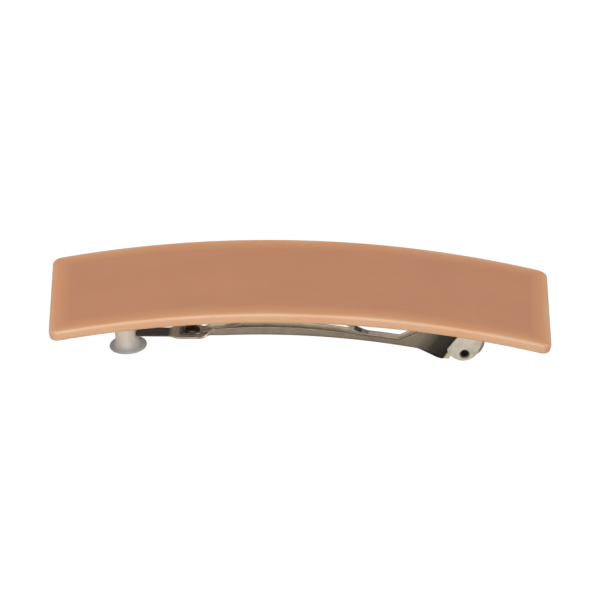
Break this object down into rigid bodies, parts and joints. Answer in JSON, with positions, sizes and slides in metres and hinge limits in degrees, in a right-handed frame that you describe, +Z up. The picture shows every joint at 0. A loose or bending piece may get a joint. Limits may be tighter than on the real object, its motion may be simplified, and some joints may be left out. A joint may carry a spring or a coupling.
{
  "type": "hair barrette",
  "caption": "Arched rectangular acetate hair barrette with a hinged steel spring clasp that snaps onto a nylon catch post.",
  "frame": {"origin": "under the middle of the plate, level with the lowest point of the catch post's foot", "axes": "+X along the plate from the catch post to the hinge, +Y across it, +Z up out of the decorative face"},
  "size_m": [0.096, 0.0306, 0.0164],
  "materials": {
    "acetate": "opaque tan cellulose acetate, tumbled to a satin gloss",
    "nylon": "natural nylon, milky and a little translucent",
    "plated_steel": "nickel plated sheet, barrel polished, with fine scratches",
    "polished_steel": "bright nickel plating on stamped steel",
    "spring_steel": "nickel plated spring strip",
    "dark_steel": "darker upset rivet head"
  },
  "bodies": {
    "plate": {"top_plate": "acetate", "hinge_bracket": "plated_steel", "bracket_rivet_inner": "plated_steel", "bracket_rivet_outer": "plated_steel", "hinge_pin": "plated_steel"},
    "catch": {"catch_post": "nylon"},
    "arm": {"clasp_arm": "polished_steel", "bow_rivet": "dark_steel"},
    "bow": {"tension_bow": "spring_steel"}
  },
  "joints": [
    {"name": "arm_hinge", "type": "hinge", "parent": "plate", "child": "arm", "pos_m": [0.03185, 0, 0.0028], "axis": [0, -1, 0], "range_deg": [0, 100], "deforming": ["catch_post"]},
    {"name": "post_flex", "type": "hinge", "parent": "plate", "child": "catch", "pos_m": [-0.0338, 0, 0.0115], "axis": [0, 1, 0], "range_deg": [0, 9], "stiffness_Nm_per_rad": 1, "deforming": ["catch_post"]},
    {"name": "bow_press", "type": "slide", "parent": "arm", "child": "bow", "axis": [0, 0, -1], "range_m": [0, 0.0019], "stiffness_N_per_m": 400, "deforming": ["tension_bow"]}
  ]
}
